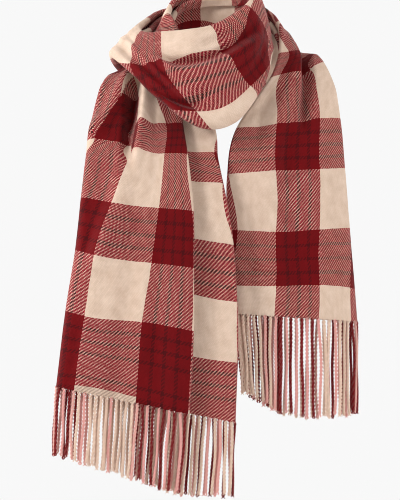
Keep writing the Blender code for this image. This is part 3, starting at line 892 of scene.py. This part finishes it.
class Wire:
    """A socket in a material's nodes. Arithmetic on it adds Math nodes."""

    def __init__(self, tree, socket=None):
        self.tree, self.socket = tree, socket

    def add(self, kind, settings, values, output=0):
        """A new node's output. Settings are set first, then the sockets' values or links."""
        node = self.tree.nodes.new("ShaderNode" + kind)
        for name, value in settings.items():
            setattr(node, name, value)
        for name, value in values.items():
            if isinstance(value, Wire):
                self.tree.links.new(value.socket, node.inputs[name])
            else:
                node.inputs[name].default_value = value
        return Wire(self.tree, node.outputs[output])

    def math(self, operation, *values):
        return self.add("Math", {"operation": operation}, dict(enumerate(values)))

    def __add__(self, other):
        return self.math("ADD", self, other)

    def __radd__(self, other):
        return self.math("ADD", other, self)

    def __sub__(self, other):
        return self.math("SUBTRACT", self, other)

    def __rsub__(self, other):
        return self.math("SUBTRACT", other, self)

    def __mul__(self, other):
        return self.math("MULTIPLY", self, other)

    def __rmul__(self, other):
        return self.math("MULTIPLY", other, self)

    def __truediv__(self, other):
        return self.math("DIVIDE", self, other)

    def __lt__(self, other):
        return self.math("LESS_THAN", self, other)

    def __gt__(self, other):
        return self.math("GREATER_THAN", self, other)

    def floor(self):
        return self.math("FLOOR", self)

    def part(self):
        """What is left past the whole number below."""
        return self.math("FRACT", self)

    def hump(self):
        """Nought at 0 and 1 and one between: four u times one less u."""
        return 4 * self * (1 - self)

    def mix(self, low, high):
        """From the colour low to the colour high as this goes from 0 to 1."""
        return self.add("Mix", {"data_type": "RGBA"}, {0: self, 6: low, 7: high}, 2)


def colour(red, green, blue):
    """A colour given as it looks on a screen, from 0 to 255, in linear light."""
    shown = np.array((red, green, blue)) / 255
    linear = np.where(shown <= 0.04045, shown / 12.92, ((shown + 0.055) / 1.055) ** 2.4)
    return (*linear, 1)


CREAM = colour(230, 207, 188)
CREAM_DEEP = colour(182, 153, 132)
# The sides of a cream thread in the mixed squares: partly the red nap that lies over them and partly painted
# shade on the thread's rounded sides.
BLUSH_NAP_AND_SHADE = colour(160, 36, 46)
RED = colour(114, 8, 13)
RED_DEEP = colour(86, 7, 12)
PINK = colour(208, 148, 142)
# The crest of a red thread in the mixed squares, lighter than the plain red: a painted highlight where the
# thread is high.
RED_CREST_HIGHLIGHT = colour(174, 18, 48)
DARK = colour(18, 13, 11)
MAROON = colour(70, 9, 13)
# The sides of a red thread and the gaps between threads in the mixed squares: painted shade.
RED_GAP_SHADE = colour(56, 4, 9)


def new_material(name):
    """A matt wool material with a slight sheen, its shader and its nodes."""
    material = bpy.data.materials.new(name)
    material.use_nodes = True
    shader = material.node_tree.nodes["Principled BSDF"]
    shader.inputs["Metallic"].default_value = 0
    shader.inputs["Specular IOR Level"].default_value = 0.1
    shader.inputs["Sheen Weight"].default_value = 0.1
    shader.inputs["Sheen Roughness"].default_value = 0.35
    shader.inputs["Sheen Tint"].default_value = (1, 0.93, 0.9, 1)
    return material, shader, Wire(material.node_tree)


def band(at, first):
    """One in the red bands, and one on the dark lines that part them into squares. A line is where the
    distance from a whole number of squares is under its half width."""
    t = ((at - first * MM) / (REPEAT * MM)).part() * REPEAT
    red = t < RED_BAND
    off = (t / SQUARE + 0.5).part() - 0.5
    dark = (off.math("ABSOLUTE", off) < DARK_HALF / SQUARE) * (t > BAND_EDGE) * (t < RED_BAND - BAND_EDGE)
    return red, dark


def woven(name):
    """Brushed wool twill: which thread is on top comes from its number plus the crossing thread's, over two
    and under two. Threads are red, cream or dark by their number, with fibres of both colours in the
    nap. Shade is painted into the colour: darker between the threads, and in the mixed squares darker on
    each thread's sides than on its lighter crest."""
    material, shader, wire = new_material(name)
    flat = wire.add("UVMap", {"uv_map": "cloth"}, {})
    in_plane = {"noise_dimensions": "2D"}
    wobble = wire.add("TexNoise", in_plane, {"Vector": flat, "Scale": 90.0, "Detail": 1.0}, 1)
    sway = (THREAD_SWAY * MM, THREAD_SWAY * MM, 0)
    shift = wire.add("VectorMath", {"operation": "MULTIPLY_ADD"}, {0: wobble, 1: sway, 2: flat})
    axes = wire.add("SeparateXYZ", {}, {0: shift})
    s, along = axes, Wire(wire.tree, axes.socket.node.outputs[1])
    a, b = s / (THREAD * MM), along / (THREAD * MM)
    ai, bi = a.floor(), b.floor()
    af, bf = a - ai, b - bi
    number = ((ai + bi + 0.5) / 4).part()
    warp_up = number < 0.5
    edge = along < HEM_EDGE * MM
    warp_up = warp_up.math("MAXIMUM", warp_up, edge)
    warp_run = ((ai + b) / 4).part() * 2
    weft_run = ((a + bi) / 4).part() * 2 - 1
    warp_round, weft_round = af.hump(), bf.hump()
    warp_high = warp_round * (0.55 + 0.45 * warp_run.hump())
    weft_high = weft_round * (0.55 + 0.45 * weft_run.hump())
    high = weft_high + warp_up * (warp_high - weft_high)
    warp_red, warp_dark = band((ai + 0.5) * (THREAD * MM), FIRST_RED_WARP)
    weft_at = (bi + 0.5) * (THREAD * MM)
    weft_red, weft_dark = band(weft_at, FIRST_RED_WEFT)
    end = weft_at < FIRST_RED_WEFT * MM
    weft_red = weft_red.math("MAXIMUM", weft_red, end)
    from_line = weft_at - SQUARE * MM
    end_line = from_line.math("ABSOLUTE", from_line) < DARK_HALF * MM
    weft_dark = weft_dark.math("MAXIMUM", weft_dark, end_line)
    fibre = wire.add("TexNoise", in_plane, {"Vector": flat, "Scale": 1300.0, "Detail": 3.0, "Roughness": 0.7})
    soft = wire.add("TexNoise", in_plane, {"Vector": flat, "Scale": 60.0, "Detail": 3.0})
    stray = wire.add("TexNoise", in_plane, {"Vector": flat, "Scale": 420.0, "Detail": 2.0, "Distortion": 1.2})
    cream = (fibre * 0.7 + soft * 0.6 - 0.15).mix(CREAM_DEEP, CREAM)
    red = (fibre * 0.8 + soft * 0.5 - 0.15).mix(RED_DEEP, RED)

    pair = warp_red + weft_red
    crossed = (pair > 0.5) * (pair < 1.5) * (1 - edge)
    # In the mixed squares each thread's crest keeps the lighter colour and its sides go darker: painted light
    # and shade on the rounded threads.
    core = high.add("MapRange", {"interpolation_type": "SMOOTHSTEP"}, {0: high, 1: 0.52, 2: 0.8})
    cell = wire.add("CombineXYZ", {}, {0: ai + 0.5, 1: bi + 0.5})
    chance = wire.add("TexWhiteNoise", {"noise_dimensions": "2D"}, {"Vector": cell}, 0)
    # Away from its crest the cream thread goes dark red: red nap and painted shade together.
    cream = (crossed * (1 - core * (0.55 + 0.45 * chance))).mix(cream, BLUSH_NAP_AND_SHADE)
    red = crossed.mix(red, (core * (0.3 + 0.7 * chance)).mix(RED_GAP_SHADE, RED_CREST_HIGHLIGHT))

    dark = (pair > 1.5).mix(DARK, MAROON)

    def yarn(is_red, is_dark):
        return is_dark.mix(is_red.mix(cream, red), dark)

    top = warp_up.mix(yarn(weft_red, weft_dark), yarn(warp_red, warp_dark))
    under = warp_up.mix(yarn(warp_red, warp_dark), yarn(weft_red, weft_dark))
    nap = 0.10 + (stray - 0.5) * 0.5
    nap = nap.math("MAXIMUM", nap, 0.0)
    blend = nap.mix(top, under)
    # Painted shade between the threads: the colour is darkened where the thread height is low.
    gap_shade = 0.62 + 0.38 * high.math("POWER", high, 0.5)
    shown = wire.add("Mix", {"data_type": "RGBA", "blend_type": "MULTIPLY"}, {0: 1.0, 6: blend, 7: gap_shade}, 2)
    wire.tree.links.new(shown.socket, shader.inputs["Base Color"])
    rough = 0.86 + 0.12 * fibre
    wire.tree.links.new(rough.socket, shader.inputs["Roughness"])
    height = high * 0.7 + fibre * 0.35
    bump = wire.add("Bump", {}, {"Strength": 0.55, "Distance": 0.0007, "Height": height})
    wire.tree.links.new(bump.socket, shader.inputs["Normal"])
    return material


def plied():
    """Twisted yarn: coloured by each ply's own tone, with fine fibre noise and a soft nap."""
    material, shader, wire = new_material("twisted_wool")
    tone = wire.add("Attribute", {"attribute_name": "tone"}, {}, 2)
    shade = wire.add("Attribute", {"attribute_name": "shade"}, {}, 2)
    place = wire.add("TexCoord", {}, {}, 3)
    fibre = wire.add("TexNoise", {}, {"Vector": place, "Scale": 1400.0, "Detail": 3.0, "Roughness": 0.7})
    soft = wire.add("TexNoise", {}, {"Vector": place, "Scale": 160.0, "Detail": 2.0})
    cream = (fibre * 0.7 + soft * 0.6 + shade * 0.12 - 0.15).mix(CREAM_DEEP, CREAM)
    red = (fibre * 0.8 + soft * 0.5 + shade * 0.2 - 0.1).mix(RED_DEEP, RED)
    pink = (tone * 2 + (fibre - 0.5) * 0.5).mix(cream, PINK)
    mixed = (tone * 2 - 1 + (fibre - 0.5) * 0.3).mix(pink, red)
    wire.tree.links.new(mixed.socket, shader.inputs["Base Color"])
    wire.tree.links.new((0.86 + 0.12 * fibre).socket, shader.inputs["Roughness"])
    bump = wire.add("Bump", {}, {"Strength": 0.5, "Distance": 0.0005, "Height": fibre})
    wire.tree.links.new(bump.socket, shader.inputs["Normal"])
    return material


def plain(name, shown, roughness):
    """A matt finish whose colour drifts very slightly."""
    material = bpy.data.materials.new(name)
    material.use_nodes = True
    shader = material.node_tree.nodes["Principled BSDF"]
    wire = Wire(material.node_tree)
    place = wire.add("TexCoord", {}, {}, 3)
    cloudy = wire.add("TexNoise", {}, {"Vector": place, "Scale": 0.8, "Detail": 2.0})
    base = cloudy.mix(shown, tuple(0.985 * c for c in shown[:3]) + (1,))
    wire.tree.links.new(base.socket, shader.inputs["Base Color"])
    shader.inputs["Roughness"].default_value = roughness
    return material


# The studio


def studio():
    """A pale floor and soft light from the left, with a long lens at the front."""
    camera = bpy.data.cameras.new("camera")
    camera.sensor_fit, camera.sensor_height, camera.sensor_width = "VERTICAL", SENSOR, SENSOR
    camera.lens = SENSOR * CAMERA_AWAY / PICTURE_HEIGHT
    camera.clip_end = 100
    seen_from = bpy.data.objects.new("camera", camera)
    seen_from.location = PICTURE_MIDDLE - Vector((0, CAMERA_AWAY, 0))
    seen_from.rotation_euler = (np.pi / 2, 0, 0)
    bpy.context.scene.collection.objects.link(seen_from)
    bpy.context.scene.camera = seen_from
    for name, place, size, power in (
        ("key", (-2.9, -1.9, 1.5), 0.9, 98),
        ("fill", (3.2, -1.6, 0.5), 2.2, 64),
        ("rim", (-3.0, 0.5, 0.3), 1.6, 60),
        ("back", (0.6, 2.8, 1.6), 2.2, 40),
        ("top", (0, -0.2, 2.8), 2.0, 10),
    ):
        light = bpy.data.lights.new(name, "AREA")
        light.energy, light.size = power, size
        lamp = bpy.data.objects.new(name, light)
        lamp.location = place
        lamp.rotation_euler = (LIT - lamp.location).to_track_quat("-Z", "Y").to_euler()
        bpy.context.scene.collection.objects.link(lamp)
    world = bpy.data.worlds.new("studio")
    world.use_nodes = True
    wire = Wire(world.node_tree)
    aim = wire.add("TexCoord", {}, {}, 0)
    up = wire.add("SeparateXYZ", {}, {0: aim}, 2)
    fade = {0: up, 1: 0.12, 2: 0.6, 3: 0.94, 4: 0.6}
    bright = wire.add("MapRange", {"interpolation_type": "SMOOTHSTEP"}, fade)
    world.node_tree.links.new(bright.socket, world.node_tree.nodes["Background"].inputs["Strength"])
    world.node_tree.nodes["Background"].inputs["Color"].default_value = (1, 1, 1, 1)
    bpy.context.scene.world = world
    bpy.context.scene.view_settings.view_transform = "Standard"
    bpy.context.scene.cycles.filter_width = 1.0
    angle = np.linspace(0, 2 * np.pi, FLOOR_SIDES + 1)[:-1]
    ring = [FLOOR_RADIUS * np.cos(angle), FLOOR_RADIUS * np.sin(angle), 0 * angle + FLOOR_AT]
    mesh = bpy.data.meshes.new("floor")
    mesh.from_pydata(np.stack(ring, axis=1).tolist(), [], [list(range(FLOOR_SIDES))])
    mesh.materials.append(plain("pale_floor", (0.9, 0.9, 0.9, 1), 0.9))
    floor = bpy.data.objects.new("floor", mesh)
    bpy.context.scene.collection.objects.link(floor)


studio()
wool = woven("tartan_twill")
made = {}
for stretch in STRETCHES:
    piece, widest, area = cloth_piece(stretch, wool)
    made[stretch.node] = (piece, widest, area, stretch)
    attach(piece, "root")
    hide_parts(stretch.node)
yarn = plied()
fringes = {}
for node, name, hem in (
    ("left_fringe", "left_fringe_strands", 0.0),
    ("right_fringe", "right_fringe_strands", CLOTH_LENGTH),
):
    piece = strands(node, name, hem, yarn)
    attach(piece, "root")
    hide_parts(node)
    fringes[node] = piece
for node, (piece, widest, area, stretch) in made.items():
    with_pieces = [fringes[node.replace("tail", "fringe")]] if "tail" in node else []
    length = (stretch.end - stretch.start) * MM
    width = min(widest, CLOTH_WIDTH * MM)
    float(min(area, width * length))
